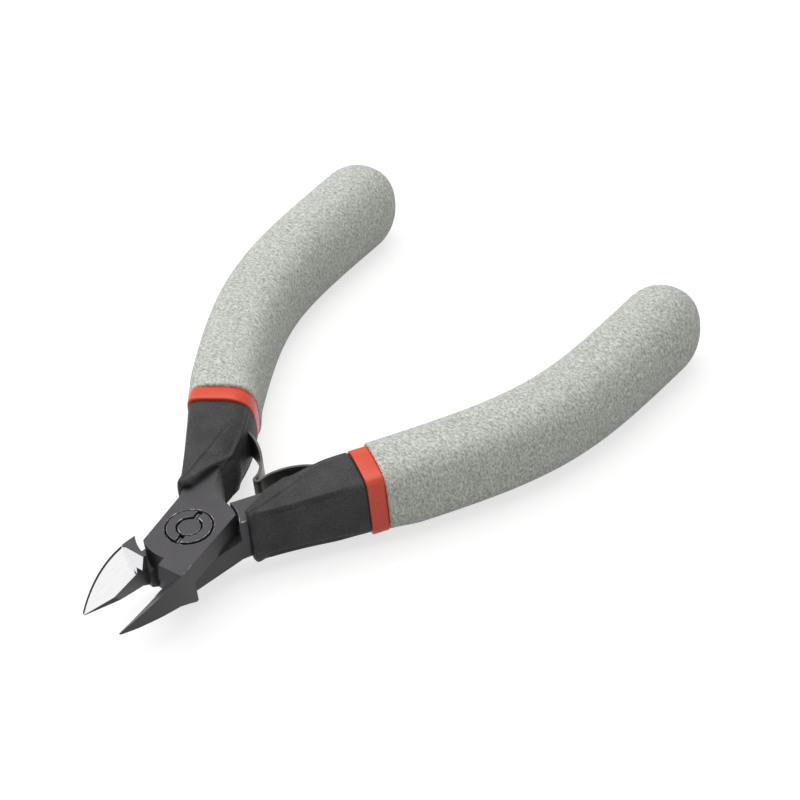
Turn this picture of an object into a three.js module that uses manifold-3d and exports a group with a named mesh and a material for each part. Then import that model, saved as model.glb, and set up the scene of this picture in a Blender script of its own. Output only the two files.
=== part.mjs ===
// Side cutters with a lap joint, a slotted pivot nut, a hairpin return spring and three-layer handles.
// Millimetres. The pivot axis is Z, the back of the joint lies on z = 0 and the jaws point to -Y.
// Each half is drawn shut, about its mid plane, with its jaw on +X, its handle on -X and its cutting
// edge on x = 0. The lower half is the mirror image, and both halves are then turned open on the pivot.

import * as THREE from 'three';
import { mergeVertices } from 'three/addons/utils/BufferGeometryUtils.js';
import Module from 'manifold-3d';

const wasm = await Module();
wasm.setup();

// Joint
const openAngle = 19.3; // degrees between open and shut
const headThickness = 8.2;
const plateRadius = 8;
const plateHalfWidth = 5.5;
const flankHalfWidth = 5.75; // plate half width on the jaw's side, at the rear
const lapGap = 0.1;
const frontShoulderGap = 1.2;
const rearShoulderGap = 0.4;

// Pivot
const nutDiameter = 7.8;
const nutThickness = 1.8;
const nutProud = 0.15;
const nutSlotWidth = 1;
const nutSlotDepth = 0.8;
const nutSlotAngle = 21.3; // degrees from the lower half's own -Y
const studDiameter = 4;
const shankDiameter = 5.6;
const pinHeadDiameter = 8.3;
const pinHeadThickness = 1.8;
const runningGap = 0.15; // radial, between the pin and its bores
const ringGap = 0.3; // radial, round the nut, the stud and the pin's head
const seatGap = 0.05;

// Jaws
const jawLength = 22.9; // pivot to tip
const jawRootDistance = 7.9;
const jawRootHalfWidth = 5.2;
const jawTipWidth = 0.35;
const jawTipHeight = 0.3; // cutting edge at the tip, above the mid plane
const jawTipLand = 0.15; // height of the blunt face under the tip's edge
const jawFlankReach = 5.3;
const jawTipReach = 5.2;
const jawTipAngle = 34;
const edgeGap = 0.05; // from each cutting edge to the closed line
const creaseDistance = 9.8; // pivot to the line where the top grind starts
const creaseSlant = 8;
const runoutAngle = 75;
const bevelAngle = 43;
const bevelRake = 4.7;
const reliefDistance = 8; // pivot to the line where the ground back starts
const reliefRunoutAngle = 31;
const reliefAngle = 13.2;
const reliefLean = 8.5;
const facetDistance = 16; // pivot to where the steep throat facet leaves the closed line
const facetTop = 1.5; // height of the facet's upper end, above the mid plane
const facetLean = 8;
const facetFlare = 10;

// Arms and tangs
const armRootGap = 0.4; // from the arm's inner edge to the closed line, at the plate
const armAngle = 22;
const armLength = 15.5;
const armEndWidth = 4.6;
const tangHalfWidth = 2;
const tangHalfThickness = 2.6;
const tangStart = 4; // along the handle's axis, inside the arm
const tangLength = 62; // along the handle's axis, to the tang's end

// Handle axis: one curve that leaves the joint, bows outward and comes back in at the end
const handleStartAside = 6.7; // from the closed line
const handleStartBack = 16.1; // behind the pivot
const handleEndAside = 18.4;
const handleEndBack = 100.5;
const handleStartAngle = 23;
const handleEndAngle = 9;
const handleStartReach = 50;
const handleEndReach = 40;

// Handle cores: a collar in front, a spine inside the grip
const noseLength = 8; // in front of the handle axis's start
const noseHalfWidth = 3.5;
const noseHalfThickness = 5.5;
const noseLand = 1.9;
const noseCutAngle = 16;
const waistOuterWidth = 3.9; // from the handle axis to the collar's outer wall, at the axis's start
const waistInnerWidth = 4.6;
const collarLength = 12.5; // from the handle axis's start to the band
const collarOuterWidth = 4.9;
const collarInnerWidth = 6.4;
const collarHalfThickness = 5.9;
const humpDistance = 7.9; // along the handle axis, to the collar's hump that holds the spring
const humpInnerWidth = 7.3;
const outerSquareness = 5;
const innerSquareness = 2.8;
const spineHalfWidth = 3.6;
const spineHalfThickness = 4.5;
const spineWall = 4; // of spine beyond the tang's end
const tangGap = 0.2;

// Bands and grips
const bandWidth = 3;
const bandRise = 0.3; // of the band's sides over the collar's
const bandHalfThickness = 6.5;
const bandGap = 0.2;
const sleeveGap = 0.2; // round the spine
const gripFrontHalfWidth = 6.2;
const gripFrontHalfThickness = 7.5;
const gripRearHalfWidth = 7.15;
const gripRearHalfThickness = 8.6;
const gripHollow = 0.2; // how much thinner, each side, the grip is halfway along
const gripFrontSquareness = 3.2;
const gripRearSquareness = 2.2;
const gripRim = 0.5; // rounding of the grip's front edge
const gripEndLength = 9; // of the rounded end

// Return spring
const springThickness = 0.5;
const springWidth = 5.6;
const springApexDistance = 15.8; // pivot to the middle of the bend
const springOffsetDistance = 0.9; // of the bend, to the right of the pivot
const springBendRadius = 0.55;
const springLegReach = 3.2;
const springSeatReach = 3.5;
const springSeatDepth = 1.2; // of the leg's end in the collar's hump
const springSeatAngle = 80; // of the leg's end, from +Y with the handles open
const springSlotLength = 6;
const springGap = 0.3;

// Facets
const roundSides = 40;
const ringSides = 24;
const arcSteps = 14;
const springBendSteps = 6;
const springLegSteps = 12;
const tangSteps = 5;
const spineSteps = 5;
const gripSteps = 12;
const gripEndSteps = 6;
const mergeDistance = 1e-4;
const reach = 60; // size of the blocks that cut planes

const degree = Math.PI / 180;
const halfHead = headThickness / 2;
const halfOpen = (openAngle / 2) * degree;

// Solids

function toSolid(geometry) {
  const bare = geometry.clone();
  bare.deleteAttribute('normal');
  bare.deleteAttribute('uv');
  const merged = mergeVertices(bare, mergeDistance);
  const index = merged.index.array;
  const corners = [];
  for (let i = 0; i < index.length; i += 3) {
    const [a, b, c] = index.slice(i, i + 3);
    if (a !== b && b !== c && c !== a) corners.push(a, b, c);
  }
  const vertProperties = new Float32Array(merged.attributes.position.array);
  const triVerts = new Uint32Array(corners);
  return new wasm.Manifold(new wasm.Mesh({ numProp: 3, vertProperties, triVerts }));
}

function toGeometry(solid) {
  const mesh = solid.getMesh();
  const geometry = new THREE.BufferGeometry();
  geometry.setAttribute('position', new THREE.BufferAttribute(mesh.vertProperties, 3));
  geometry.setIndex(new THREE.BufferAttribute(mesh.triVerts, 1));
  return geometry;
}

function mirrored(geometry) {
  const copy = geometry.clone().scale(-1, 1, 1);
  const index = copy.index.array;
  for (let i = 0; i < index.length; i += 3) {
    [index[i], index[i + 1]] = [index[i + 1], index[i]];
  }
  return copy;
}

// The shape's outline as points, with none doubled where its curves meet
function outlinePoints(shape) {
  const points = shape.getPoints(arcSteps);
  return points.filter((point, i) => point.distanceTo(points.at(i - 1)) > mergeDistance);
}

// A plate with the shape's outline between two heights
function slab(shape, bottom, top) {
  const outline = new THREE.Shape(outlinePoints(shape));
  const geometry = new THREE.ExtrudeGeometry(outline, { depth: top - bottom, bevelEnabled: false });
  return toSolid(geometry.translate(0, 0, bottom));
}

function disc(diameter, bottom, top) {
  const geometry = new THREE.CylinderGeometry(diameter / 2, diameter / 2, top - bottom, roundSides);
  geometry.rotateX(Math.PI / 2).translate(0, 0, (top + bottom) / 2);
  return toSolid(geometry);
}

// Everything on one side of a plane: a block whose face holds the point and faces against the normal
function beyond(point, normal) {
  const outward = normal.clone().normalize();
  const geometry = new THREE.BoxGeometry(reach, reach, reach).translate(0, 0, reach / 2);
  const turn = new THREE.Quaternion().setFromUnitVectors(new THREE.Vector3(0, 0, 1), outward);
  return toSolid(geometry.applyQuaternion(turn).translate(point.x, point.y, point.z));
}

function polygon(points) {
  return new THREE.Shape(points.map(([x, y]) => new THREE.Vector2(x, y)));
}

// Handle axis

const handleStart = new THREE.Vector2(-handleStartAside, handleStartBack);
const handleEnd = new THREE.Vector2(-handleEndAside, handleEndBack);
const leave = new THREE.Vector2(-Math.sin(handleStartAngle * degree), Math.cos(handleStartAngle * degree));
const arrive = new THREE.Vector2(Math.sin(handleEndAngle * degree), Math.cos(handleEndAngle * degree));
const handleCurve = new THREE.CubicBezierCurve(
  handleStart,
  handleStart.clone().addScaledVector(leave, handleStartReach),
  handleEnd.clone().addScaledVector(arrive, -handleEndReach),
  handleEnd,
);
const handleLength = handleCurve.getLength();

// Point, direction and inward direction at a distance along the axis, straight in front of its start
function axisAt(distance) {
  const share = Math.min(Math.max(distance / handleLength, 0), 1);
  const along = handleCurve.getTangentAt(share);
  const point = handleCurve.getPointAt(share).addScaledVector(along, Math.min(distance, 0));
  return { point, along, inward: new THREE.Vector2(along.y, -along.x) };
}

// One section across the handle axis: a rounded box whose inner and outer sides have their own
// width from the axis and their own squareness
function unevenSection(distance, inner, outer, halfThickness) {
  const { point, inward } = axisAt(distance);
  const ring = [];
  for (let i = 0; i < ringSides; i += 1) {
    const angle = (2 * Math.PI * (i + 0.5)) / ringSides;
    const side = Math.cos(angle) > 0 ? inner : outer;
    const across = Math.sign(Math.cos(angle)) * Math.abs(Math.cos(angle)) ** (2 / side.squareness);
    const up = Math.sign(Math.sin(angle)) * Math.abs(Math.sin(angle)) ** (2 / side.squareness);
    const spot = point.clone().addScaledVector(inward, across * side.width);
    ring.push(new THREE.Vector3(spot.x, spot.y, up * halfThickness));
  }
  return ring;
}

function section(distance, halfWidth, halfThickness, squareness) {
  const side = { width: halfWidth, squareness };
  return unevenSection(distance, side, side, halfThickness);
}

function collarSection(distance, innerWidth, outerWidth, halfThickness) {
  const inner = { width: innerWidth, squareness: innerSquareness };
  const outer = { width: outerWidth, squareness: outerSquareness };
  return unevenSection(distance, inner, outer, halfThickness);
}

// A closed skin over a row of sections, with a flat cap on each end
function skin(rings) {
  const positions = [];
  const corners = [];
  const last = rings.length - 1;
  rings.flat().forEach((spot) => positions.push(spot.x, spot.y, spot.z));
  for (let row = 0; row < last; row += 1) {
    for (let i = 0; i < ringSides; i += 1) {
      const next = (i + 1) % ringSides;
      const [a, b] = [row * ringSides + i, row * ringSides + next];
      corners.push(a, a + ringSides, b, b, a + ringSides, b + ringSides);
    }
  }
  for (let i = 1; i < ringSides - 1; i += 1) {
    const far = last * ringSides;
    corners.push(0, i, i + 1, far, far + i + 1, far + i);
  }
  const geometry = new THREE.BufferGeometry();
  geometry.setAttribute('position', new THREE.BufferAttribute(new Float32Array(positions), 3));
  geometry.setIndex(corners);
  return toSolid(geometry);
}

// Steel halves

const rearCorner = Math.sqrt(plateRadius ** 2 - flankHalfWidth ** 2);
const leftCorner = Math.sqrt(plateRadius ** 2 - plateHalfWidth ** 2);
const armRoot = Math.sqrt(plateRadius ** 2 - armRootGap ** 2);
const throat = Math.sqrt(plateRadius ** 2 - edgeGap ** 2);

// Corners of the arm, grown all round for the pocket that takes it
function armCorners(grow) {
  const along = new THREE.Vector2(-Math.sin(armAngle * degree), Math.cos(armAngle * degree));
  const inward = new THREE.Vector2(along.y, -along.x);
  const innerRoot = new THREE.Vector2(-armRootGap, armRoot).addScaledVector(inward, grow);
  const innerEnd = innerRoot.clone().addScaledVector(along, armLength + grow);
  const outerEnd = innerEnd.clone().addScaledVector(inward, -armEndWidth - 2 * grow);
  const outerRoot = new THREE.Vector2(-plateHalfWidth, leftCorner).addScaledVector(inward, -grow);
  return { innerRoot, innerEnd, outerEnd, outerRoot };
}

function halfOutline() {
  const { innerRoot, innerEnd, outerEnd, outerRoot } = armCorners(0);
  const tip = new THREE.Vector2(edgeGap + jawTipWidth, -jawLength);
  const tipTurn = jawTipAngle * degree;
  const shape = new THREE.Shape();
  shape.moveTo(edgeGap, -jawLength);
  shape.lineTo(tip.x, tip.y);
  shape.bezierCurveTo(
    tip.x + jawTipReach * Math.sin(tipTurn), tip.y + jawTipReach * Math.cos(tipTurn),
    jawRootHalfWidth, -jawRootDistance - jawFlankReach,
    jawRootHalfWidth, -jawRootDistance,
  );
  shape.lineTo(flankHalfWidth, rearCorner);
  const turnAt = (x, y) => Math.atan2(y, x);
  shape.absarc(0, 0, plateRadius, turnAt(flankHalfWidth, rearCorner), turnAt(-armRootGap, armRoot), false);
  [innerRoot, innerEnd, outerEnd, outerRoot].forEach((corner) => shape.lineTo(corner.x, corner.y));
  shape.absarc(0, 0, plateRadius, turnAt(-plateHalfWidth, -leftCorner), turnAt(edgeGap, -throat), false);
  return shape;
}

// Ground faces of the jaw: the bevel and its runout on top, the relief behind, the steep throat facet
function jawCuts() {
  const slope = (angle) => Math.tan(angle * degree);
  const edgeTip = new THREE.Vector3(0, -jawLength, jawTipHeight);
  const reliefTip = new THREE.Vector3(0, -jawLength, jawTipHeight - jawTipLand);
  const bevel = beyond(edgeTip, new THREE.Vector3(-slope(bevelAngle), slope(bevelRake), 1));
  const runout = beyond(
    new THREE.Vector3(0, -creaseDistance, halfHead),
    new THREE.Vector3(-slope(creaseSlant), -1, 1 / slope(runoutAngle)),
  );
  const relief = beyond(reliefTip, new THREE.Vector3(slope(reliefLean), -slope(reliefAngle), -1));
  const reliefRunout = beyond(
    new THREE.Vector3(0, -reliefDistance, -halfHead),
    new THREE.Vector3(0, -slope(reliefRunoutAngle), -1),
  );
  const facetRise = slope(reliefAngle) * (jawLength - facetDistance);
  const facet = beyond(
    new THREE.Vector3(0, -facetDistance, reliefTip.z - facetRise),
    new THREE.Vector3(-1, slope(facetFlare), slope(facetLean)),
  );
  const shoulder = new THREE.Vector3(0, -plateRadius - frontShoulderGap, 0);
  const front = beyond(shoulder, new THREE.Vector3(0, -1, 0));
  const below = beyond(new THREE.Vector3(0, 0, facetTop), new THREE.Vector3(0, 0, -1));
  const throatCut = facet.intersect(front).intersect(below);
  return bevel.intersect(runout).add(relief.intersect(reliefRunout)).add(throatCut);
}

function tang(grow) {
  const rings = [];
  for (let i = 0; i <= tangSteps; i += 1) {
    const distance = tangStart + ((tangLength + grow - tangStart) * i) / tangSteps;
    rings.push(section(distance, tangHalfWidth + grow, tangHalfThickness + grow, outerSquareness));
  }
  return skin(rings);
}

// Room that one half leaves for the other's plate, on one side of the lap
function lapRoom(bottom, top) {
  const front = plateRadius + frontShoulderGap;
  const rear = plateRadius + rearShoulderGap;
  const shape = new THREE.Shape();
  shape.absarc(0, 0, rear, 0, Math.PI, false);
  shape.lineTo(-front, 0);
  shape.absarc(0, 0, front, Math.PI, 2 * Math.PI, false);
  return slab(shape, bottom, top);
}

function steelHalf(lapBottom, lapTop, sinkDiameter, sinkBottom, sinkTop) {
  const blank = slab(halfOutline(), -halfHead, halfHead).add(tang(0));
  const bore = disc(shankDiameter + 2 * runningGap, -headThickness, headThickness);
  const sink = disc(sinkDiameter + 2 * ringGap, sinkBottom, sinkTop);
  const room = lapRoom(lapBottom, lapTop);
  return toGeometry(blank.subtract(room).subtract(jawCuts()).subtract(bore).subtract(sink));
}

// Pivot

const nutTop = halfHead + nutProud;
const nutSeat = nutTop - nutThickness;
const headSeat = pinHeadThickness - halfHead;

function upperHalf() {
  return steelHalf(-headThickness, lapGap / 2, nutDiameter, nutSeat - seatGap, headThickness);
}

function lowerHalf() {
  const sinkTop = headSeat + seatGap;
  return mirrored(steelHalf(-lapGap / 2, headThickness, pinHeadDiameter, -headThickness, sinkTop));
}

function pivotPin() {
  const head = disc(pinHeadDiameter, -halfHead, headSeat);
  const shank = disc(shankDiameter, headSeat - seatGap, nutSeat - seatGap);
  const stud = disc(studDiameter, nutSeat - 2 * seatGap, halfHead);
  return toGeometry(head.add(shank).add(stud));
}

function ringNut() {
  const ring = disc(nutDiameter, nutSeat, nutTop).subtract(disc(studDiameter + 2 * ringGap, -reach, reach));
  const slot = new THREE.BoxGeometry(nutSlotWidth, reach, nutSlotDepth);
  slot.translate(0, 0, nutTop - nutSlotDepth / 2 + seatGap).rotateZ(nutSlotAngle * degree);
  return toGeometry(ring.subtract(toSolid(slot)));
}

// Return spring, drawn with the handles open

function openSide(point) {
  return point.clone().rotateAround(new THREE.Vector2(), halfOpen);
}

// End of the spring's leg in the left handle, and the leg's direction there
function springSeat() {
  const seat = axisAt(humpDistance);
  const end = openSide(seat.point.clone().addScaledVector(seat.inward, humpInnerWidth - springSeatDepth));
  const arrival = new THREE.Vector2(-Math.sin(springSeatAngle * degree), Math.cos(springSeatAngle * degree));
  return { end, arrival };
}

// One half of the spring's centre line, from the bend's middle to the leg's end, drawn on the left;
// the offset moves the bend away from that leg
function springLine(offset) {
  const { end, arrival } = springSeat();
  const bendMiddle = springApexDistance + springBendRadius;
  const legStart = new THREE.Vector2(offset - springBendRadius, bendMiddle);
  const bend = new THREE.EllipseCurve(
    offset, bendMiddle, springBendRadius, springBendRadius, -Math.PI / 2, -Math.PI, true,
  );
  const leg = new THREE.CubicBezierCurve(
    legStart,
    legStart.clone().add(new THREE.Vector2(0, springLegReach)),
    end.clone().addScaledVector(arrival, -springSeatReach),
    end,
  );
  return [...bend.getPoints(springBendSteps), ...leg.getPoints(springLegSteps).slice(1)];
}

function offsetLine(points, amount) {
  return points.map((point, i) => {
    const before = points[Math.max(i - 1, 0)];
    const after = points[Math.min(i + 1, points.length - 1)];
    const along = after.clone().sub(before).normalize();
    return new THREE.Vector2(point.x - along.y * amount, point.y + along.x * amount);
  });
}

function returnSpring() {
  const left = springLine(springOffsetDistance);
  const right = springLine(-springOffsetDistance).map((point) => new THREE.Vector2(-point.x, point.y));
  const line = [...right.reverse(), ...left.slice(1)];
  const outer = offsetLine(line, springThickness / 2);
  const inner = offsetLine(line, -springThickness / 2).reverse();
  return toGeometry(slab(new THREE.Shape([...outer, ...inner]), -springWidth / 2, springWidth / 2));
}

// The slot that takes the spring's leg, in the handle's own shut position
function springSlot() {
  const { end, arrival } = springSeat();
  const wide = springThickness / 2 + springGap;
  const across = new THREE.Vector2(-arrival.y, arrival.x);
  const far = end.clone().addScaledVector(arrival, springGap);
  const near = far.clone().addScaledVector(arrival, -springSlotLength);
  const corners = [[near, wide], [far, wide], [far, -wide], [near, -wide]].map(([point, side]) => {
    const corner = point.clone().addScaledVector(across, side);
    return corner.rotateAround(new THREE.Vector2(), -halfOpen).toArray();
  });
  return slab(polygon(corners), -springWidth / 2 - springGap, springWidth / 2 + springGap);
}

// Handle layers

const spineLength = tangLength + spineWall;
const bandStart = collarLength + bandGap;
const gripStart = bandStart + bandWidth + bandGap;

function spineSections(grow, from, to) {
  const rings = [];
  for (let i = 0; i <= spineSteps; i += 1) {
    const distance = from + ((to - from) * i) / spineSteps;
    rings.push(section(distance, spineHalfWidth + grow, spineHalfThickness + grow, outerSquareness));
  }
  return rings;
}

// Everything in front of the collar's slanting nose, on the handle's inner side
function noseCut() {
  const { point, inward } = axisAt(-noseLength);
  const corner = point.clone().addScaledVector(inward, noseLand - noseHalfWidth);
  const turn = noseCutAngle * degree;
  const facing = new THREE.Vector3(Math.cos(turn), -Math.sin(turn), 0);
  return beyond(new THREE.Vector3(corner.x, corner.y, 0), facing);
}

function handleCore() {
  const humpShare = humpDistance / collarLength;
  const humpOuterWidth = waistOuterWidth + (collarOuterWidth - waistOuterWidth) * humpShare;
  const sections = [
    collarSection(-noseLength, noseHalfWidth, noseHalfWidth, noseHalfThickness),
    collarSection(0, waistInnerWidth, waistOuterWidth, noseHalfThickness),
    collarSection(humpDistance, humpInnerWidth, humpOuterWidth, collarHalfThickness),
    collarSection(collarLength, collarInnerWidth, collarOuterWidth, collarHalfThickness),
    ...spineSections(0, collarLength, spineLength),
  ];
  const { innerRoot, innerEnd, outerEnd, outerRoot } = armCorners(tangGap);
  const armOutline = polygon([innerRoot, innerEnd, outerEnd, outerRoot].map((corner) => corner.toArray()));
  const armRoom = slab(armOutline, -halfHead - tangGap, halfHead + tangGap);
  const room = armRoom.add(tang(tangGap)).add(springSlot()).add(noseCut());
  return toGeometry(skin(sections).subtract(room));
}

function band() {
  const end = bandStart + bandWidth;
  const outer = [bandStart, end].map((distance) => (
    collarSection(distance, collarInnerWidth + bandRise, collarOuterWidth + bandRise, bandHalfThickness)
  ));
  return toGeometry(skin(outer).subtract(skin(spineSections(sleeveGap, collarLength, gripStart))));
}

function grip() {
  const straight = handleLength - gripEndLength;
  const share = (distance) => (distance - gripStart) / (straight - gripStart);
  const mix = (front, rear, distance) => front + (rear - front) * share(distance);
  const at = (distance, size, inset) => {
    const along = Math.min(distance, straight);
    const halfWidth = mix(gripFrontHalfWidth, gripRearHalfWidth, along) * size - inset;
    const hollow = gripHollow * Math.sin(Math.PI * share(along));
    const halfThickness = (mix(gripFrontHalfThickness, gripRearHalfThickness, along) - hollow) * size - inset;
    return section(distance, halfWidth, halfThickness, mix(gripFrontSquareness, gripRearSquareness, along));
  };
  const rimEnd = gripStart + gripRim;
  const rings = [at(gripStart, 1, gripRim), at(gripStart + gripRim / 3, 1, gripRim / 3)];
  for (let i = 0; i <= gripSteps; i += 1) {
    rings.push(at(rimEnd + ((straight - rimEnd) * i) / gripSteps, 1, 0));
  }
  for (let i = 1; i <= gripEndSteps; i += 1) {
    const angle = ((Math.PI / 2) * i) / (gripEndSteps + 0.5);
    rings.push(at(straight + gripEndLength * Math.sin(angle), Math.cos(angle), 0));
  }
  const room = spineSections(sleeveGap, collarLength, spineLength + sleeveGap);
  return toGeometry(skin(rings).subtract(skin(room)));
}

// Assembly

function piece(name, geometry, color, roughness, metalness) {
  const material = new THREE.MeshStandardMaterial({ color, roughness, metalness });
  const mesh = new THREE.Mesh(geometry, material);
  mesh.name = name;
  return mesh;
}

const steel = [0x5c5b5d, 0.42, 1];
const darkSteel = [0x6a696b, 0.38, 1];
const springSteel = [0x8d8c88, 0.35, 1];
const blackPlastic = [0x3a3a3c, 0.5, 0];
const redPlastic = [0xd9482f, 0.35, 0];
const greyRubber = [0xb5b6ae, 0.85, 0];

const upper = new THREE.Group();
upper.rotation.z = halfOpen;
upper.add(
  piece('upper_half', upperHalf(), ...steel),
  piece('left_handle_core', handleCore(), ...blackPlastic),
  piece('left_band', band(), ...redPlastic),
  piece('left_grip', grip(), ...greyRubber),
);

const lower = new THREE.Group();
lower.rotation.z = -halfOpen;
lower.add(
  piece('lower_half', lowerHalf(), ...steel),
  piece('pivot_pin', pivotPin(), ...darkSteel),
  piece('ring_nut', ringNut(), ...darkSteel),
  piece('right_handle_core', mirrored(handleCore()), ...blackPlastic),
  piece('right_band', mirrored(band()), ...redPlastic),
  piece('right_grip', mirrored(grip()), ...greyRubber),
);

const cutters = new THREE.Group();
cutters.position.z = halfHead;
cutters.add(upper, lower, piece('return_spring', returnSpring(), ...springSteel));

export default cutters;
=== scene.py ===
import math
from bisect import bisect_right

import bmesh
import bpy
from mathutils import Matrix, Vector


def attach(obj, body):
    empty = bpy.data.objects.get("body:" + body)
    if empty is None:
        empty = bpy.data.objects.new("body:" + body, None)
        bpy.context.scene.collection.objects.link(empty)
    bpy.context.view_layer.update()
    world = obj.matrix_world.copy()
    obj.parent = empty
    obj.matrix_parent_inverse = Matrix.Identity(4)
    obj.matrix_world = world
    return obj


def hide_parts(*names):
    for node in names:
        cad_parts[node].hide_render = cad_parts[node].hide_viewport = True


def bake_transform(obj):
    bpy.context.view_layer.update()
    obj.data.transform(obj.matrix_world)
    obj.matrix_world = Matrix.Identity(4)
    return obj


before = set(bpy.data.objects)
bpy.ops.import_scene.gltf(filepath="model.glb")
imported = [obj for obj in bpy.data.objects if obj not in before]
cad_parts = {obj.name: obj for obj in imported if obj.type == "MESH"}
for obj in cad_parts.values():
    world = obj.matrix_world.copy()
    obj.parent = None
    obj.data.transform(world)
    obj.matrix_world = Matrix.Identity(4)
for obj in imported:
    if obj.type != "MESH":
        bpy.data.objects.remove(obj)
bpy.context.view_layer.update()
print("frame loaded:", len(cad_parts), "solids")

# Camera, fitted to both halves of the open cutters

camera = {
    "position": (0.25672, -0.22439, 0.32216),
    "azimuth": 42.5363,
    "elevation": 40.7211,
    "roll": -6.8151,
    "focalPixels": 2764.655,
    "imagePixels": 800,
    "sensor": 36.0,
    "clip": (0.01, 20),
}


def addCamera():
    turn = math.radians(camera["azimuth"])
    rise = math.radians(camera["elevation"])
    roll = math.radians(camera["roll"])
    back = Vector((math.sin(turn) * math.cos(rise), -math.cos(turn) * math.cos(rise), math.sin(rise)))
    level = Vector((math.cos(turn), math.sin(turn), 0))
    plumb = back.cross(level)
    right = math.cos(roll) * level + math.sin(roll) * plumb
    up = math.cos(roll) * plumb - math.sin(roll) * level
    data = bpy.data.cameras.new("camera")
    data.sensor_width = camera["sensor"]
    data.lens = camera["focalPixels"] * camera["sensor"] / camera["imagePixels"]
    data.clip_start, data.clip_end = camera["clip"]
    data.dof.use_dof = False
    item = bpy.data.objects.new("camera", data)
    matrix = Matrix((right, up, back)).transposed().to_4x4()
    matrix.translation = Vector(camera["position"])
    item.matrix_world = matrix
    bpy.context.scene.collection.objects.link(item)
    bpy.context.scene.camera = item


addCamera()
print("camera placed")

# Small helpers


def mm(value):
    return value * 0.001


def linear(hexColor):
    channels = [int(hexColor[i:i + 2], 16) / 255 for i in (1, 3, 5)]
    return tuple(c / 12.92 if c <= 0.04045 else ((c + 0.055) / 1.055) ** 2.4 for c in channels) + (1.0,)


def plug(tree, node, links):
    for key, source in links.items():
        tree.links.new(source, node.inputs[key])


def addNode(tree, kind, settings=None, links=None):
    # sockets that share a name go by number: a Mix node's colours are 6 and 7, its vectors 4 and 5
    node = tree.nodes.new(kind)
    for key, value in (settings or {}).items():
        if isinstance(key, int) or key in node.inputs:
            node.inputs[key].default_value = value
        else:
            setattr(node, key, value)
    plug(tree, node, links or {})
    return node


def startMaterial(name):
    material = bpy.data.materials.new(name)
    material.use_nodes = True
    tree = material.node_tree
    shader = tree.nodes["Principled BSDF"]
    where = addNode(tree, "ShaderNodeTexCoord")
    return material, tree, shader, where


def perMillimetre(size):
    return 1000 / size  # texture scale for a pattern of this size in mm


# Materials


def makeOxideSteel(name, dark, light):
    # carbon steel, forged, ground and black oxided: a dark satin skin with a faint blotch
    look = {
        "blotchMm": 2.5, "grainMm": 0.22, "rough": (0.36, 0.5), "metallic": 0.45,
        "bump": 0.12, "bumpMm": 0.03,
    }
    material, tree, shader, where = startMaterial(name)
    blotch = addNode(tree, "ShaderNodeTexNoise", {"Scale": perMillimetre(look["blotchMm"]), "Detail": 4.0},
                     {"Vector": where.outputs["Object"]})
    grain = addNode(tree, "ShaderNodeTexNoise", {"Scale": perMillimetre(look["grainMm"]), "Detail": 2.0},
                    {"Vector": where.outputs["Object"]})
    tone = addNode(tree, "ShaderNodeMix", {"data_type": "RGBA", 6: linear(dark), 7: linear(light)},
                   {0: blotch.outputs["Fac"]})
    rough = addNode(tree, "ShaderNodeMapRange", {"To Min": look["rough"][0], "To Max": look["rough"][1]},
                    {"Value": blotch.outputs["Fac"]})
    bump = addNode(tree, "ShaderNodeBump", {"Strength": look["bump"], "Distance": mm(look["bumpMm"])},
                   {"Height": grain.outputs["Fac"]})
    plug(tree, shader, {"Base Color": tone.outputs[2], "Roughness": rough.outputs["Result"],
                        "Normal": bump.outputs["Normal"]})
    shader.inputs["Metallic"].default_value = look["metallic"]
    return material


def makeGroundSteel():
    # the same steel bared by grinding: bright, with fine lines along the jaw
    look = {
        "low": "#e9e9eb", "high": "#fdfdfd", "lineMm": 0.18, "stretch": (1.0, 0.06, 1.0),
        "rough": (0.13, 0.21), "metallic": 1.0,
    }
    material, tree, shader, where = startMaterial("carbon_steel_ground_bright")
    drawn = addNode(tree, "ShaderNodeMapping", {"Scale": look["stretch"]},
                    {"Vector": where.outputs["Object"]})
    lines = addNode(tree, "ShaderNodeTexNoise", {"Scale": perMillimetre(look["lineMm"]), "Detail": 3.0},
                    {"Vector": drawn.outputs["Vector"]})
    tone = addNode(tree, "ShaderNodeMix",
                   {"data_type": "RGBA", 6: linear(look["low"]), 7: linear(look["high"])},
                   {0: lines.outputs["Fac"]})
    rough = addNode(tree, "ShaderNodeMapRange", {"To Min": look["rough"][0], "To Max": look["rough"][1]},
                    {"Value": lines.outputs["Fac"]})
    plug(tree, shader, {"Base Color": tone.outputs[2], "Roughness": rough.outputs["Result"]})
    shader.inputs["Metallic"].default_value = look["metallic"]
    return material


def makeWornGlintSteel():
    # the black oxide rubbed thin on the edges, with painted glints: pale steel shows in patches, partly as
    # wear and partly as painted highlights on the eased edges
    look = {
        # the bare tone is pale partly for the wear and partly as painted glints
        "dark": "#403e41", "bare": "#a3a2a4", "patchMm": 0.9, "bareAt": (0.47, 0.7),
        "rough": (0.34, 0.46), "metallic": 0.7,
    }
    material, tree, shader, where = startMaterial("carbon_steel_oxide_worn_glint")
    patch = addNode(tree, "ShaderNodeTexNoise", {"Scale": perMillimetre(look["patchMm"]), "Detail": 3.0},
                    {"Vector": where.outputs["Object"]})
    bare = addNode(tree, "ShaderNodeMapRange", {"From Min": look["bareAt"][0], "From Max": look["bareAt"][1]},
                   {"Value": patch.outputs["Fac"]})
    tone = addNode(tree, "ShaderNodeMix",
                   {"data_type": "RGBA", 6: linear(look["dark"]), 7: linear(look["bare"])},
                   {0: bare.outputs["Result"]})
    rough = addNode(tree, "ShaderNodeMapRange", {"To Min": look["rough"][0], "To Max": look["rough"][1]},
                    {"Value": patch.outputs["Fac"]})
    plug(tree, shader, {"Base Color": tone.outputs[2], "Roughness": rough.outputs["Result"]})
    shader.inputs["Metallic"].default_value = look["metallic"]
    return material


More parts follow.
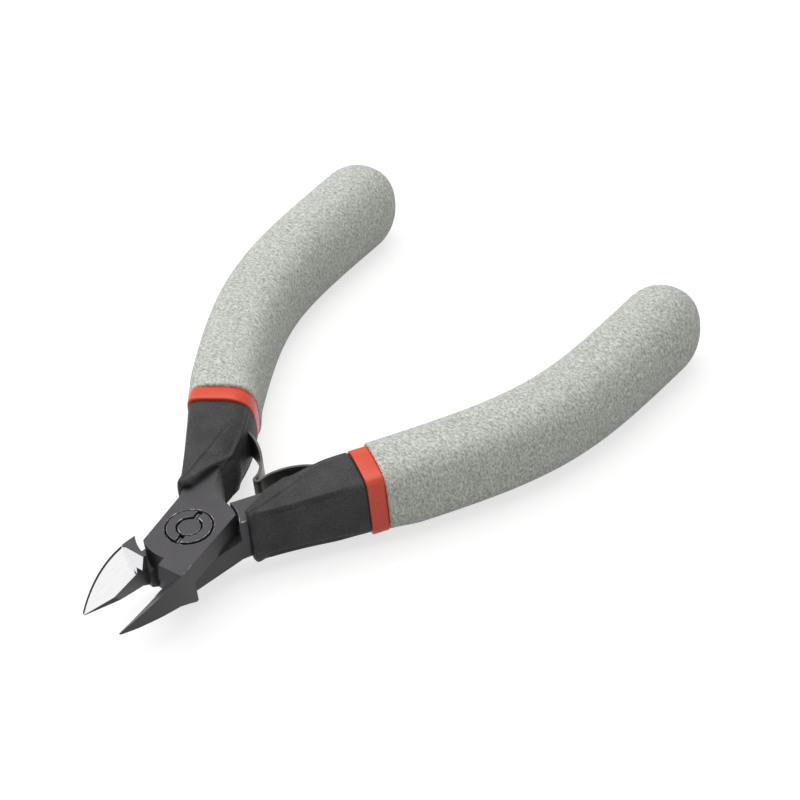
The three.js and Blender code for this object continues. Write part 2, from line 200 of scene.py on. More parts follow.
def makeSpringSteel():
    # carbon spring strip, cold rolled: lengthwise rolling lines, half bright
    look = {
        "dark": "#3b3a39", "light": "#6a6966", "lineMm": 0.25, "stretch": (0.15, 0.15, 1.0),
        "rough": (0.26, 0.42), "metallic": 0.85,
    }
    material, tree, shader, where = startMaterial("spring_strip_rolled")
    drawn = addNode(tree, "ShaderNodeMapping", {"Scale": look["stretch"]},
                    {"Vector": where.outputs["Object"]})
    lines = addNode(tree, "ShaderNodeTexNoise", {"Scale": perMillimetre(look["lineMm"]), "Detail": 3.0},
                    {"Vector": drawn.outputs["Vector"]})
    tone = addNode(tree, "ShaderNodeMix",
                   {"data_type": "RGBA", 6: linear(look["dark"]), 7: linear(look["light"])},
                   {0: lines.outputs["Fac"]})
    rough = addNode(tree, "ShaderNodeMapRange", {"To Min": look["rough"][0], "To Max": look["rough"][1]},
                    {"Value": lines.outputs["Fac"]})
    plug(tree, shader, {"Base Color": tone.outputs[2], "Roughness": rough.outputs["Result"]})
    shader.inputs["Metallic"].default_value = look["metallic"]
    return material


def makeCollarPlastic():
    # glass-filled nylon, moulded in a lightly spark-eroded tool: near-black, fine matte grain
    look = {
        "dark": "#1c1b1c", "light": "#414041", "grainMm": 0.28, "blotchMm": 4.0, "grainShare": 2.2,
        "speckAt": (1.1, 2.1), "rough": (0.42, 0.62), "bumpMm": 0.1, "ior": 1.53, "gloss": 0.18,
    }
    material, tree, shader, where = startMaterial("nylon_moulded_black")
    grain = addNode(tree, "ShaderNodeTexNoise",
                    {"Scale": perMillimetre(look["grainMm"]), "Detail": 3.0, "Roughness": 0.6},
                    {"Vector": where.outputs["Object"]})
    blotch = addNode(tree, "ShaderNodeTexNoise", {"Scale": perMillimetre(look["blotchMm"]), "Detail": 2.0},
                     {"Vector": where.outputs["Object"]})
    both = addNode(tree, "ShaderNodeMath", {"operation": "MULTIPLY_ADD", 1: look["grainShare"]},
                   {0: grain.outputs["Fac"], 2: blotch.outputs["Fac"]})
    speck = addNode(tree, "ShaderNodeMapRange",
                    {"From Min": look["speckAt"][0], "From Max": look["speckAt"][1]},
                    {"Value": both.outputs["Value"]})
    tone = addNode(tree, "ShaderNodeMix",
                   {"data_type": "RGBA", 6: linear(look["dark"]), 7: linear(look["light"])},
                   {0: speck.outputs["Result"]})
    rough = addNode(tree, "ShaderNodeMapRange", {"To Min": look["rough"][0], "To Max": look["rough"][1]},
                    {"Value": grain.outputs["Fac"]})
    bump = addNode(tree, "ShaderNodeBump", {"Strength": 1.0, "Distance": mm(look["bumpMm"])},
                   {"Height": grain.outputs["Fac"]})
    plug(tree, shader, {"Base Color": tone.outputs[2], "Roughness": rough.outputs["Result"],
                        "Normal": bump.outputs["Normal"]})
    shader.inputs["IOR"].default_value = look["ior"]
    shader.inputs["Specular IOR Level"].default_value = look["gloss"]
    return material


def makeBandPlastic():
    # polypropylene, moulded in a polished tool: warm red, half gloss
    look = {
        "low": "#c23f27", "high": "#ca452b", "blotchMm": 3.0,
        "rough": (0.22, 0.32), "ior": 1.49, "gloss": 0.35,
    }
    material, tree, shader, where = startMaterial("polypropylene_moulded_red")
    blotch = addNode(tree, "ShaderNodeTexNoise", {"Scale": perMillimetre(look["blotchMm"]), "Detail": 2.0},
                     {"Vector": where.outputs["Object"]})
    tone = addNode(tree, "ShaderNodeMix",
                   {"data_type": "RGBA", 6: linear(look["low"]), 7: linear(look["high"])},
                   {0: blotch.outputs["Fac"]})
    rough = addNode(tree, "ShaderNodeMapRange", {"To Min": look["rough"][0], "To Max": look["rough"][1]},
                    {"Value": blotch.outputs["Fac"]})
    plug(tree, shader, {"Base Color": tone.outputs[2], "Roughness": rough.outputs["Result"]})
    shader.inputs["IOR"].default_value = look["ior"]
    shader.inputs["Specular IOR Level"].default_value = look["gloss"]
    return material


def makeGripRubber():
    # thermoplastic rubber, moulded in an etched tool: pale grey, a fine wrinkled grain with painted shade
    look = {
        # low and high are painted shade in the wrinkles' hollows and painted highlight on their crests
        "low": "#7b7f78", "high": "#e2e5dd", "toneAt": (0.4, 0.95),
        "swayMm": 1.6, "swayReachMm": 0.6, "wrinkleMm": 0.32, "stretch": (0.55, 1.0, 0.55),
        "fineMm": 0.15, "fineShare": 0.35, "rough": (0.7, 0.88), "bumpMm": 0.4, "ior": 1.5, "gloss": 0.3,
    }
    material, tree, shader, where = startMaterial("soft_rubber_moulded_grey")
    sway = addNode(tree, "ShaderNodeTexNoise", {"Scale": perMillimetre(look["swayMm"]), "Detail": 2.0},
                   {"Vector": where.outputs["Object"]})
    push = addNode(tree, "ShaderNodeMix", {"data_type": "VECTOR", 0: mm(look["swayReachMm"])},
                   {4: where.outputs["Object"], 5: sway.outputs["Color"]})
    # the wrinkles run across the handle
    fold = addNode(tree, "ShaderNodeMapping", {"Scale": look["stretch"]}, {"Vector": push.outputs[1]})
    wrinkle = addNode(tree, "ShaderNodeTexNoise",
                      {"Scale": perMillimetre(look["wrinkleMm"]), "Detail": 3.0, "Roughness": 0.55},
                      {"Vector": fold.outputs["Vector"]})
    fine = addNode(tree, "ShaderNodeTexNoise", {"Scale": perMillimetre(look["fineMm"]), "Detail": 2.0},
                   {"Vector": where.outputs["Object"]})
    height = addNode(tree, "ShaderNodeMath", {"operation": "MULTIPLY_ADD", 1: look["fineShare"]},
                     {0: fine.outputs["Fac"], 2: wrinkle.outputs["Fac"]})
    shade = addNode(tree, "ShaderNodeMapRange",
                    {"From Min": look["toneAt"][0], "From Max": look["toneAt"][1]},
                    {"Value": height.outputs["Value"]})
    # the colour follows the wrinkles' height: painted shade in their hollows, painted highlight on their
    # crests
    tone = addNode(tree, "ShaderNodeMix",
                   {"data_type": "RGBA", 6: linear(look["low"]), 7: linear(look["high"])},
                   {0: shade.outputs["Result"]})
    rough = addNode(tree, "ShaderNodeMapRange", {"To Min": look["rough"][0], "To Max": look["rough"][1]},
                    {"Value": fine.outputs["Fac"]})
    bump = addNode(tree, "ShaderNodeBump", {"Strength": 1.0, "Distance": mm(look["bumpMm"])},
                   {"Height": height.outputs["Value"]})
    plug(tree, shader, {"Base Color": tone.outputs[2], "Roughness": rough.outputs["Result"],
                        "Normal": bump.outputs["Normal"]})
    shader.inputs["IOR"].default_value = look["ior"]
    shader.inputs["Specular IOR Level"].default_value = look["gloss"]
    return material


# Handle axis, in mm with the cutters shut, left handle; the right one is its mirror image

joint = {"halfOpen": math.radians(19.3 / 2), "lift": 4.1}
handle = {
    "start": Vector((-6.7, 16.1)), "startAngle": 23, "startReach": 50,
    "end": Vector((-18.4, 100.5)), "endAngle": 9, "endReach": 40,
    "sides": 192, "samples": 600,
}
sides = {"left": "upper_body", "right": "lower_body"}


def cubic(a, b, c, d, share):
    rest = 1 - share
    return rest ** 3 * a + 3 * rest ** 2 * share * b + 3 * rest * share ** 2 * c + share ** 3 * d


def axisCurve(share):
    outward, inward = math.radians(handle["startAngle"]), math.radians(handle["endAngle"])
    leave = Vector((-math.sin(outward), math.cos(outward)))
    arrive = Vector((math.sin(inward), math.cos(inward)))
    a, d = handle["start"], handle["end"]
    b, c = a + leave * handle["startReach"], d - arrive * handle["endReach"]
    rest = 1 - share
    along = rest ** 2 * (b - a) + 2 * rest * share * (c - b) + share ** 2 * (d - c)
    return cubic(a, b, c, d, share), along.normalized()


axisShares = [i / handle["samples"] for i in range(handle["samples"] + 1)]
axisLengths = [0.0]
for before, after in zip(axisShares, axisShares[1:]):
    axisLengths.append(axisLengths[-1] + (axisCurve(after)[0] - axisCurve(before)[0]).length)
axisLength = axisLengths[-1]


def axisAt(distance):
    # the axis this far along, straight on in front of its start, and the way to the handle's inner side
    inside = min(max(distance, 0), axisLength)
    high = min(bisect_right(axisLengths, inside), len(axisLengths) - 1)
    low = high - 1
    step = axisLengths[high] - axisLengths[low]
    share = axisShares[low] + (axisShares[high] - axisShares[low]) * ((inside - axisLengths[low]) / step)
    point, along = axisCurve(share)
    return point + along * min(distance, 0), Vector((along.y, -along.x))


def boxOffset(angle, inner, outer, halfThickness, innerSquare, outerSquare):
    # a rounded box's outline, evenly spaced round its middle: offset across the handle and height
    square = innerSquare if math.cos(angle) > 0 else outerSquare
    width = inner if math.cos(angle) > 0 else outer
    reach = (abs(math.cos(angle)) ** square + abs(math.sin(angle)) ** square) ** (-1 / square)
    return reach * math.cos(angle) * width, reach * math.sin(angle) * halfThickness


def spotAt(distance, across, up):
    point, inward = axisAt(distance)
    return Vector((point.x + inward.x * across, point.y + inward.y * across, up))


def angles():
    return [2 * math.pi * (i + 0.5) / handle["sides"] for i in range(handle["sides"])]


def evenRing(distance, halfWidth, halfThickness, square):
    return [spotAt(distance, *boxOffset(angle, halfWidth, halfWidth, halfThickness, square, square))
            for angle in angles()]


def quarterRound(radius, steps):
    # a rounded edge from its face to its side: how far behind the face and how far inside the side
    turns = [math.pi / 2 * k / steps for k in range(steps + 1)]
    return [(radius * (1 - math.cos(turn)), radius * (1 - math.sin(turn))) for turn in turns]


def ease(low, high, value):
    share = min(max((value - low) / (high - low), 0), 1)
    return share * share * (3 - 2 * share)


def knotSlope(knots, k):
    if k in (0, len(knots) - 1):
        return 0.0
    return (knots[k + 1][1] - knots[k - 1][1]) / (knots[k + 1][0] - knots[k - 1][0])


def smooth(knots, distance):
    # a value along the handle, through (distance, value) knots with an easy slope
    if distance <= knots[0][0]:
        return knots[0][1]
    for i in range(len(knots) - 1):
        (x0, y0), (x1, y1) = knots[i], knots[i + 1]
        if distance <= x1:
            h = x1 - x0
            t = (distance - x0) / h
            return ((2 * t ** 3 - 3 * t ** 2 + 1) * y0 + (t ** 3 - 2 * t ** 2 + t) * h * knotSlope(knots, i)
                    + (3 * t ** 2 - 2 * t ** 3) * y1 + (t ** 3 - t ** 2) * h * knotSlope(knots, i + 1))
    return knots[-1][1]


def spread(value, middle, width):
    return math.exp(-((value - middle) / width) ** 2)  # 1 at the middle, fading to both sides


def openTurn(x, y):
    # half of the opening, about the pivot
    turn = joint["halfOpen"]
    return x * math.cos(turn) - y * math.sin(turn), x * math.sin(turn) + y * math.cos(turn)


def toOpen(point, side):
    # from the shut position, in mm, to the open one in the frame
    x, y = openTurn(point.x, point.y)
    return Vector((mm(x) * (1 if side == "left" else -1), mm(y), mm(point.z + joint["lift"])))


def addPiece(name, points, faces, material, body, node):
    mesh = bpy.data.meshes.new(name)
    mesh.from_pydata([tuple(p) for p in points], [], faces)
    bm = bmesh.new()
    bm.from_mesh(mesh)
    bmesh.ops.recalc_face_normals(bm, faces=bm.faces)
    bm.to_mesh(mesh)
    bm.free()
    mesh.shade_smooth()
    item = bpy.data.objects.new(name, mesh)
    bpy.context.scene.collection.objects.link(item)
    mesh.materials.append(material)
    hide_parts(node)
    if body:
        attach(item, body)
    return item


def skin(rings, closed):
    # faces from each ring to the next, and where the skin is closed from the last ring to the first
    count = len(rings[0])
    points = [p for ring in rings for p in ring]
    faces = []
    for row in range(len(rings) if closed else len(rings) - 1):
        after = (row + 1) % len(rings)
        for i in range(count):
            j = (i + 1) % count
            faces.append((row * count + i, row * count + j, after * count + j, after * count + i))
    return points, faces


def loft(rings):
    # one skin over a row of rings, each end drawn together at its middle
    points, faces = skin(rings, False)
    count = len(rings[0])
    for row in (0, len(rings) - 1):
        points.append(sum(rings[row], Vector((0, 0, 0))) / count)
        for i in range(count):
            faces.append((row * count + i, row * count + (i + 1) % count, len(points) - 1))
    return points, faces


def addBoth(name, shape, material, node):
    points, faces = shape
    for side, body in sides.items():
        spots = [toOpen(p, side) for p in points]
        addPiece(f"{side}_{name}", spots, faces, material, body, f"{side}_{node}")


# Handle cores: the black collar in front, the spine inside the grip

collar = {
    "noseLength": 8.0, "noseLand": 1.9, "noseHalfWidth": 3.5, "noseCutAngle": 16, "noseRound": (6.0, 0.02),
    "noseEnd": 7.5, "noseTries": 40, "length": 12.5,
    "inner": [(-8, 3.5), (0, 4.7), (4, 5.8), (8.5, 6.55), (12.5, 6.65)],
    "outer": [(-8, 3.5), (0, 3.9), (7.9, 4.52), (12.5, 4.9)],
    "thick": [(-8, 5.5), (0, 5.5), (7.9, 5.9), (12.5, 5.9)],
    "innerSquare": 3.0, "outerSquare": 6.5,
    "lipRadius": 0.75, "lipSteps": 8, "flare": 0.32, "flareLength": 1.1, "rows": 110, "rowPower": 1.3,
    "endRadius": 0.25, "endSteps": 4,
}
# the slanting crease on the collar's faces, inside which they fall away, the bead on their inner edge,
# and the fine line under their outer edge
crease = {
    "at": (-6.2, -2.2), "rise": 0.433, "fall": 0.11, "fade": (2, 9), "groove": 0.24, "width": 0.2,
    "onFace": (0.6, 0.95),
}
ridge = {"angle": 39, "spread": 3.5, "height": 0.32, "from": (-5, -2)}
underline = {
    "angle": 49, "spread": 3.0, "height": 0.14, "under": 41, "depth": 0.26, "from": (-6.5, -5), "to": (6, 11),
}
spine = {"halfWidth": 3.6, "halfThickness": 4.5, "square": 5, "length": 66, "gap": 0.2, "rows": 12}
bore = (spine["halfWidth"] + spine["gap"], spine["halfThickness"] + spine["gap"], spine["square"])


def collarPoint(distance, angle, inset):
    inner = smooth(collar["inner"], distance) - inset
    outer = smooth(collar["outer"], distance) - inset
    thick = smooth(collar["thick"], distance) - inset
    across, up = boxOffset(angle, inner, outer, thick, collar["innerSquare"], collar["outerSquare"])
    lean = math.degrees(math.atan2(abs(up) / thick, across / inner))
    bead = ridge["height"] * spread(lean, ridge["angle"], ridge["spread"]) * ease(*ridge["from"], distance)
    across, up = across * (1 + bead / inner), up * (1 + bead / thick)
    inside = across - crease["at"][1] - crease["rise"] * (distance - crease["at"][0])
    share = 1 - ease(*crease["fade"], distance)
    drop = crease["fall"] * max(inside, 0) + crease["groove"] * spread(inside, 0, crease["width"])
    up -= math.copysign(drop * share * ease(*crease["onFace"], abs(up) / thick), up)
    if across < 0:
        span = ease(*underline["from"], distance) * (1 - ease(*underline["to"], distance))
        lean = math.degrees(math.atan2(abs(up) / thick, -across / outer))
        lift = underline["height"] * spread(lean, underline["angle"], underline["spread"])
        lift -= underline["depth"] * spread(lean, underline["under"], underline["spread"])
        across, up = across * (1 + lift * span / outer), up * (1 + lift * span / thick)
    return spotAt(distance, across, up)


def noseStart(angle):
    # where this line of the collar leaves the slanting nose
    point, inward = axisAt(-collar["noseLength"])
    corner = point + inward * (collar["noseLand"] - collar["noseHalfWidth"])
    turn = math.radians(collar["noseCutAngle"])
    facing = Vector((math.cos(turn), -math.sin(turn)))
    along = Vector((math.sin(turn), math.cos(turn)))
    straight, bend = collar["noseRound"]

    def ahead(distance):
        spot = collarPoint(distance, angle, 0)
        reach = Vector((spot.x, spot.y)) - corner
        return reach.dot(facing) + bend * max(reach.dot(along) - straight, 0) ** 2

    low, high = -collar["noseLength"], collar["noseEnd"]
    if ahead(low) <= 0:
        return low
    for _ in range(collar["noseTries"]):
        middle = (low + high) / 2
        low, high = (middle, high) if ahead(middle) > 0 else (low, middle)
    return high


def collarRings():
    lines = [(noseStart(angle), angle) for angle in angles()]
    end = collar["length"]
    rings = []
    for behind, inset in quarterRound(collar["lipRadius"], collar["lipSteps"])[:-1]:
        rings.append([collarPoint(start + behind, angle, inset - collar["flare"]) for start, angle in lines])
    for k in range(collar["rows"] + 1):
        share = (k / collar["rows"]) ** collar["rowPower"]
        row = []
        for start, angle in lines:
            first = start + collar["lipRadius"]
            distance = first + (end - collar["endRadius"] - first) * share
            bulge = collar["flare"] * spread(distance, first, collar["flareLength"])
            row.append(collarPoint(distance, angle, -bulge))
        rings.append(row)
    for inset, behind in quarterRound(collar["endRadius"], collar["endSteps"])[1:]:
        rings.append([collarPoint(end - behind, angle, inset) for angle in angles()])
    for k in range(spine["rows"] + 1):
        distance = end + (spine["length"] - end) * k / spine["rows"]
        rings.append(evenRing(distance, spine["halfWidth"], spine["halfThickness"], spine["square"]))
    return rings


addBoth("core", loft(collarRings()), makeCollarPlastic(), "handle_core")
print("handle cores made")

# Red bands: sleeves on the spine

band = {
    "start": 12.53, "width": 3.15, "inner": 6.7, "outer": 5.2, "halfThickness": 6.5,
    "edge": 0.28, "edgeSteps": 5,
}


def bandRing(distance, inset):
    sizes = [band[name] - inset for name in ("inner", "outer", "halfThickness")]
    return [spotAt(distance, *boxOffset(angle, *sizes, collar["innerSquare"], collar["outerSquare"]))
            for angle in angles()]


def bandRings():
    start, end = band["start"], band["start"] + band["width"]
    edge = quarterRound(band["edge"], band["edgeSteps"])
    outside = [bandRing(start + behind, inset) for behind, inset in edge]
    outside += [bandRing(end - behind, inset) for behind, inset in edge[::-1]]
    return [evenRing(start, *bore)] + outside + [evenRing(end, *bore)]


addBoth("band_ring", skin(bandRings(), True), makeBandPlastic(), "band")
print("bands made")

# Grey grips: sleeves with a shut, round end

grip = {
    "start": 15.71, "endLength": 9.0, "rim": 0.3, "rimSteps": 8, "rows": 120, "endRows": 30,
    "frontHalfWidth": 6.2, "rearHalfWidth": 7.15, "frontHalfThickness": 7.5, "rearHalfThickness": 8.6,
    "frontSquare": 3.2, "rearSquare": 2.2, "hollow": 0.2,
    "swell": 6.0, "startInner": 6.8, "startOuter": 5.85, "startThick": 7.0,
}


def gripRing(distance, size, inset):
    straight = axisLength - grip["endLength"]
    share = min(max((distance - grip["start"]) / (straight - grip["start"]), 0), 1)

    def mix(name):
        return grip["front" + name] + (grip["rear" + name] - grip["front" + name]) * share

    thick = mix("HalfThickness") - grip["hollow"] * math.sin(math.pi * share)
    # next to the band the grip starts near the band's size, and swells to its full size
    early = 1 - ease(0, grip["swell"], distance - grip["start"])
    inner = mix("HalfWidth") + (grip["startInner"] - grip["frontHalfWidth"]) * early
    outer = mix("HalfWidth") + (grip["startOuter"] - grip["frontHalfWidth"]) * early
    thick += (grip["startThick"] - grip["frontHalfThickness"]) * early
    sizes = [value * size - inset for value in (inner, outer, thick)]
    square = mix("Square")
    return [spotAt(distance, *boxOffset(angle, *sizes, square, square)) for angle in angles()]


def gripRings():
    straight = axisLength - grip["endLength"]
    rimEnd = grip["start"] + grip["rim"]
    deep = spine["length"] + spine["gap"]
    rings = []
    for k in range(spine["rows"], -1, -1):
        rings.append(evenRing(grip["start"] + (deep - grip["start"]) * k / spine["rows"], *bore))
    for behind, inset in quarterRound(grip["rim"], grip["rimSteps"])[:-1]:
        rings.append(gripRing(grip["start"] + behind, 1, inset))
    for k in range(grip["rows"] + 1):
        rings.append(gripRing(rimEnd + (straight - rimEnd) * k / grip["rows"], 1, 0))
    for k in range(1, grip["endRows"]):
        turn = math.pi / 2 * k / grip["endRows"]
        rings.append(gripRing(straight + grip["endLength"] * math.sin(turn), math.cos(turn), 0))
    return rings


addBoth("grip_sleeve", loft(gripRings()), makeGripRubber(), "grip")
print("grips made")

# Steel halves and pivot: the solids with their edges eased

steel = {
    "merge": 0.002, "flatAngle": 0.4, "sharpAngle": 32, "sameFacing": 0.995,
    "edge": 0.14, "steps": 2, "shortest": 0.5, "throat": 2.4, "jawStart": -8, "hidden": 18,
    # the upper half's rim is painted shade: it turns most of that jaw's ground bevel black where that face is
    # seen in shade; the lower half's rim is a thin black line along the edge
    "rim": {"upper": 6.0, "lower": 0.4}, "rimShare": 0.72, "rimStart": 0.15,
    "rimClear": (2.2, -15), "rimFacing": -0.1,
    "bevelAngle": 43, "bevelRake": 4.7, "runoutAngle": 75, "creaseSlant": 8,
    "throatLean": 8, "throatFlare": 10,
}
pivot = {"edges": {"pivot_pin": 0.15, "ring_nut": 0.1}, "merge": 0.12}


def slope(degrees):
    return math.tan(math.radians(degrees))


bevelFace = Vector((-slope(steel["bevelAngle"]), slope(steel["bevelRake"]), 1)).normalized()
throatFace = Vector((-1, slope(steel["throatFlare"]), slope(steel["throatLean"]))).normalized()
runoutFace = Vector((-slope(steel["creaseSlant"]), -1, 1 / slope(steel["runoutAngle"]))).normalized()


def turned(vector, side):
    # a direction of the upper half, or its mirror image for the lower half, in the open position
    spin = Matrix.Rotation(joint["halfOpen"], 3, "Z") @ vector
    return spin if side == "upper" else Vector((-spin.x, spin.y, spin.z))


def shutSpot(point, side):
    # back to mm in the upper half's shut position
    flip = 1 if side == "upper" else -1
    spot = Vector((point.x * 1000 * flip, point.y * 1000, point.z * 1000 - joint["lift"]))
    return Matrix.Rotation(-joint["halfOpen"], 3, "Z") @ spot


def sharpEdge(line):
    return len(line.link_faces) == 2 and line.calc_face_angle(0) > math.radians(steel["sharpAngle"])


def safeEdges(bm, side):
    # the long edges in sight, away from the cutting edge, the ground faces and the short edges of the throat
    chosen = []
    for line in bm.edges:
        spots = [shutSpot(v.co, side) for v in line.verts]
        near = [other for v in line.verts for other in v.link_edges if sharpEdge(other)]
        short = min([other.calc_length() for other in near], default=0) < mm(steel["shortest"])
        jaw = min(s.y for s in spots) < steel["jawStart"]
        cutting = jaw and min(s.x for s in spots) < steel["throat"]
        ground = any(face.material_index or face.tag for face in line.link_faces)
        hidden = min(s.y for s in spots) > steel["hidden"]
        if sharpEdge(line) and not (short or cutting or ground or hidden):
            chosen.append(line)
    return chosen


def outerChain(face, side):
    # the corners of the bevel's face along the jaw's outer side, from the crease to the tip
    outward = turned(Vector((1, 0, 0)), side)
    loops = list(face.loops)
    outer = []
    for loop in loops:
        spot = shutSpot((loop.edge.verts[0].co + loop.edge.verts[1].co) / 2, side)
        clear = spot.x > steel["rimClear"][0] or spot.y < steel["rimClear"][1]
        beside = [other for other in loop.edge.link_faces if other is not face]
        outer.append(clear and bool(beside) and beside[0].normal.dot(outward) > steel["rimFacing"])
    chains = []
    for i in range(len(loops)):
        if outer[i] and not outer[i - 1]:
            chain = [loops[i].vert]
            while outer[i % len(loops)]:
                i += 1
                chain.append(loops[i % len(loops)].vert)
            chains.append(chain)
    chain = max(chains, key=len)
    return chain if shutSpot(chain[0].co, side).y > shutSpot(chain[-1].co, side).y else chain[::-1]


def cutRim(face, side):
    # a black rim along the bevel's outer side, never further in than a share of the way to the cutting edge;
    # on the upper half it covers most of the bevel as painted shade
    chain = outerChain(face, side)
    inward = turned(Vector((-1, 0, -slope(steel["bevelAngle"]))).normalized(), side)
    forward = turned(Vector((0, -1, slope(steel["bevelRake"]))).normalized(), side)
    lean = math.cos(math.radians(steel["bevelAngle"]))

    def depth(corner):
        return min(steel["rim"][side], steel["rimShare"] * max(shutSpot(corner.co, side).x, 0) / lean)

    first = depth(chain[0])
    skew = first * lean * slope(steel["creaseSlant"]) + steel["rimStart"]
    spots = [chain[0].co + inward * mm(first) + forward * mm(skew)]
    spots += [corner.co + inward * mm(depth(corner)) for corner in chain[1:-1]]
    other, _ = bmesh.utils.face_split(face, chain[0], chain[-1], coords=spots)
    rim = other if chain[1] in other.verts[:] else face
    rim.material_index = 0
    rim.tag = True


def grindFaces(bm, side, facings):
    # the ground faces get the bright material, the throat a lighter copy of the black steel as painted light,
    # and the bevel its rim, which on the upper half is painted shade
    for face in list(bm.faces):
        face.tag = False
        # faces turned like the throat take the lighter steel: painted light
        if face.normal.dot(turned(throatFace, side)) > steel["sameFacing"]:
            face.material_index = 2
            face.smooth = False
        if max(face.normal.dot(facing) for facing in facings) > steel["sameFacing"]:
            face.material_index = 1
            face.smooth = False
        if face.normal.dot(facings[0]) > steel["sameFacing"]:
            cutRim(face, side)


def steelCopy(node, name, materials, body, merge, prepare):
    # the solid's own mesh, cleaned and with the chosen edges rounded in the last of the materials
    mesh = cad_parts[node].data.copy()
    mesh.name = name
    bm = bmesh.new()
    bm.from_mesh(mesh)
    bmesh.ops.remove_doubles(bm, verts=bm.verts, dist=mm(merge))
    bmesh.ops.dissolve_limit(bm, angle_limit=math.radians(steel["flatAngle"]), verts=bm.verts, edges=bm.edges)
    bm.normal_update()
    for face in bm.faces:
        face.material_index = 0
        face.smooth = True
    chosen, edge = prepare(bm)
    made = bmesh.ops.bevel(bm, geom=chosen, offset=mm(edge), offset_type="OFFSET", segments=steel["steps"],
                           profile=0.5, affect="EDGES", clamp_overlap=False)
    bm.normal_update()
    strips = set(made["faces"])
    for face in strips:
        face.material_index = len(materials) - 1
    for line in bm.edges:
        border = len({face in strips for face in line.link_faces}) == 2
        line.smooth = not border and not sharpEdge(line)
    mesh.materials.clear()
    for material in materials:
        mesh.materials.append(material)
    bm.to_mesh(mesh)
    bm.free()
    item = bpy.data.objects.new(name, mesh)
    bpy.context.scene.collection.objects.link(item)
    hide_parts(node)
    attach(item, body)


def addHalf(side, body, facings):
    def prepare(bm):
        grindFaces(bm, side, [turned(facing, side) for facing in facings])
        return safeEdges(bm, side), steel["edge"]
    materials = [blackSteel, groundSteel, throatLitSteel, wornGlintSteel]
    steelCopy(f"{side}_half", f"{side}_steel", materials, body, steel["merge"], prepare)


def addPivot(node, name):
    def prepare(bm):
        return [line for line in bm.edges if sharpEdge(line)], pivot["edges"][node]
    steelCopy(node, name, [blackSteel, wornGlintSteel], "lower_body", pivot["merge"], prepare)


blackSteel = makeOxideSteel("carbon_steel_black_oxide", "#2f2d30", "#3d3b3e")
# the throat facet gets a lighter copy of the black oxide steel, as painted light on that facet
throatLitSteel = makeOxideSteel("carbon_steel_painted_lit_oxide", "#59585a", "#69686a")
groundSteel, wornGlintSteel = makeGroundSteel(), makeWornGlintSteel()
addHalf("upper", "upper_body", [bevelFace])
addHalf("lower", "lower_body", [bevelFace, runoutFace])
addPivot("pivot_pin", "pivot_pin_turned")
addPivot("ring_nut", "ring_nut_slotted")
print("steel halves and pivot eased")

# Return spring: one strip from handle to handle, in mm with the handles open

spring = {
    "thickness": 0.5, "width": 5.6, "apex": 15.8, "offset": 0.9, "bendRadius": 0.55,
    "legReach": 3.2, "seatReach": 3.5, "seatDepth": 1.2, "seatAngle": 80, "hump": (7.9, 7.3),
    "bendSteps": 14, "legSteps": 40, "corner": 0.1, "sharpAngle": 40,
    "blendReach": 8.5, "blendAt": 24,
}


def springLeg(offset):
    point, inward = axisAt(spring["hump"][0])
    seat = point + inward * (spring["hump"][1] - spring["seatDepth"])
    end = Vector(openTurn(seat.x, seat.y))
    lean = math.radians(spring["seatAngle"])
    arrive = Vector((-math.sin(lean), math.cos(lean)))
    radius = spring["bendRadius"]
    middle = Vector((offset, spring["apex"] + radius))
    line = []
    for k in range(spring["bendSteps"]):
        angle = -math.pi / 2 - math.pi / 2 * k / spring["bendSteps"]
        line.append(middle + radius * Vector((math.cos(angle), math.sin(angle))))
    a = middle + Vector((-radius, 0))
    b = a + Vector((0, spring["legReach"]))
    c = end - arrive * spring["seatReach"]
    line += [cubic(a, b, c, end, k / spring["legSteps"]) for k in range(spring["legSteps"] + 1)]
    return line


def addSpring():
    left = springLeg(spring["offset"])
    right = [Vector((-p.x, p.y)) for p in springLeg(-spring["offset"])]
    line = right[::-1] + left[1:]
    half, deep, corner = spring["thickness"] / 2, spring["width"] / 2, spring["corner"]
    profile = [(half, deep - corner), (half - corner, deep), (corner - half, deep), (-half, deep - corner),
               (-half, corner - deep), (corner - half, -deep), (half - corner, -deep), (half, corner - deep)]
    rings = []
    for i, point in enumerate(line):
        along = (line[min(i + 1, len(line) - 1)] - line[max(i - 1, 0)]).normalized()
        across = Vector((-along.y, along.x))
        rings.append([Vector((mm(point.x + across.x * u), mm(point.y + across.y * u), mm(v + joint["lift"])))
                      for u, v in profile])
    points, faces = loft(rings)
    item = addPiece("hairpin_spring", points, faces, makeSpringSteel(), None, "return_spring")
    item.data.set_sharp_from_angle(angle=math.radians(spring["sharpAngle"]))
    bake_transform(item)


addSpring()
print("spring made")

# Floor, light and world

studio = {
    "floorHeight": -4.62, "floorSize": 3.0, "floorColor": "#a6a6a5", "bounceColor": "#c4c4c3",
    "floorGlow": 0.68, "floorRough": 0.9, "glowColor": "#ffffff",
    "worldLight": 0.42, "worldSeen": 1.0,
}
# each lamp's place and target in the frame, its width and its power in watts
lamps = {
    "top_softbox": {"spot": (-0.08, 0.12, 0.6), "target": (0, 0.04, 0), "size": 0.8, "power": 3.5},
    "side_softbox": {"spot": (-0.45, -0.05, 0.4), "target": (0, 0.04, 0), "size": 0.5, "power": 1.5},
    "fill_softbox": {"spot": (0.5, -0.32, 0.22), "target": (0, 0.03, 0), "size": 0.6, "power": 0.4},
}


def addSeen(tree):
    # 1 where the camera sees the ground, directly, in a reflection or through glass
    path = addNode(tree, "ShaderNodeLightPath")
    direct = addNode(tree, "ShaderNodeMath", {"operation": "MAXIMUM"},
                     {0: path.outputs["Is Camera Ray"], 1: path.outputs["Is Glossy Ray"]})
    return addNode(tree, "ShaderNodeMath", {"operation": "MAXIMUM"},
                   {0: direct.outputs["Value"], 1: path.outputs["Is Transmission Ray"]})


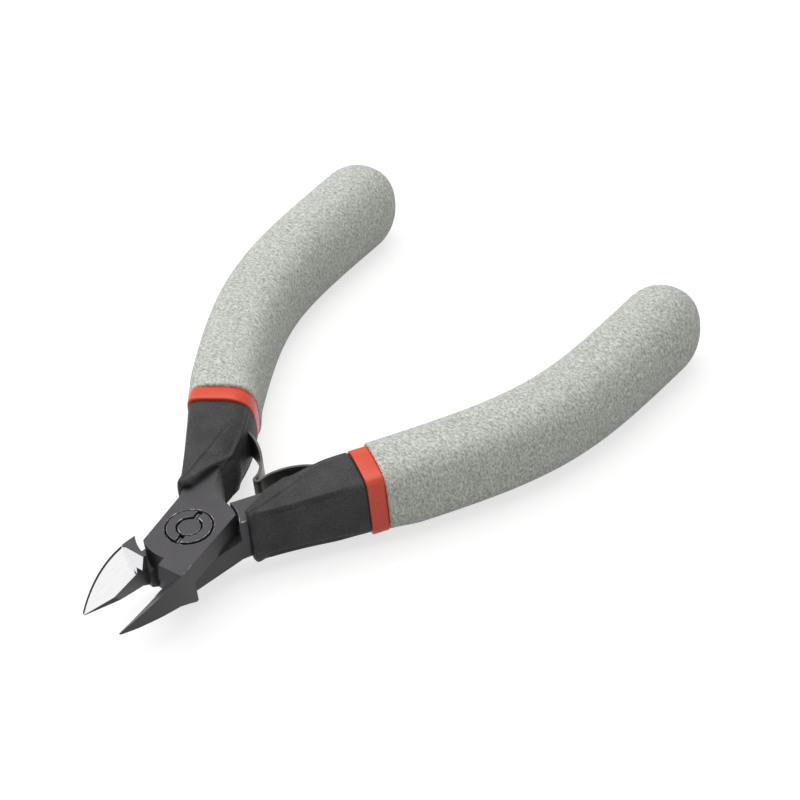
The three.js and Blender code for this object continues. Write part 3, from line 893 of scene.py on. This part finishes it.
def addFloor():
    mesh = bpy.data.meshes.new("floor")
    half, height = studio["floorSize"] / 2, mm(studio["floorHeight"])
    corners = [(-half, -half, height), (half, -half, height), (half, half, height), (-half, half, height)]
    mesh.from_pydata(corners, [], [(0, 1, 2, 3)])
    floor = bpy.data.objects.new("floor", mesh)
    bpy.context.scene.collection.objects.link(floor)
    # white paper, matt: pale where it is seen, with a lighter shadow than it would have on its own
    material, tree, shader, _ = startMaterial("paper_sweep_white")
    seen = addSeen(tree)
    tone = addNode(tree, "ShaderNodeMix",
                   {"data_type": "RGBA", 6: linear(studio["bounceColor"]), 7: linear(studio["floorColor"])},
                   {0: seen.outputs["Value"]})
    glow = addNode(tree, "ShaderNodeMath", {"operation": "MULTIPLY", 1: studio["floorGlow"]},
                   {0: seen.outputs["Value"]})
    plug(tree, shader, {"Base Color": tone.outputs[2], "Emission Strength": glow.outputs["Value"]})
    shader.inputs["Roughness"].default_value = studio["floorRough"]
    shader.inputs["Specular IOR Level"].default_value = 0.0
    shader.inputs["Emission Color"].default_value = linear(studio["glowColor"])
    mesh.materials.append(material)


def addLamp(name, spot, target, size, power):
    data = bpy.data.lights.new(name, "AREA")
    data.shape = "DISK"
    data.size = size
    data.energy = power
    lamp = bpy.data.objects.new(name, data)
    lamp.location = spot
    lamp.rotation_euler = (Vector(target) - Vector(spot)).to_track_quat("-Z", "Y").to_euler()
    bpy.context.scene.collection.objects.link(lamp)


def setWorld():
    # even light from all round, seen as white by the camera and in reflections
    world = bpy.data.worlds.new("studio")
    bpy.context.scene.world = world
    world.use_nodes = True
    tree = world.node_tree
    background = tree.nodes["Background"]
    seen = addSeen(tree)
    strength = addNode(tree, "ShaderNodeMapRange",
                       {"To Min": studio["worldLight"], "To Max": studio["worldSeen"]},
                       {"Value": seen.outputs["Value"]})
    background.inputs["Color"].default_value = linear(studio["glowColor"])
    plug(tree, background, {"Strength": strength.outputs["Result"]})


addFloor()
for lampName, lampPlan in lamps.items():
    addLamp(lampName, **lampPlan)
setWorld()
bpy.context.scene.view_settings.view_transform = "Standard"
print("studio set")
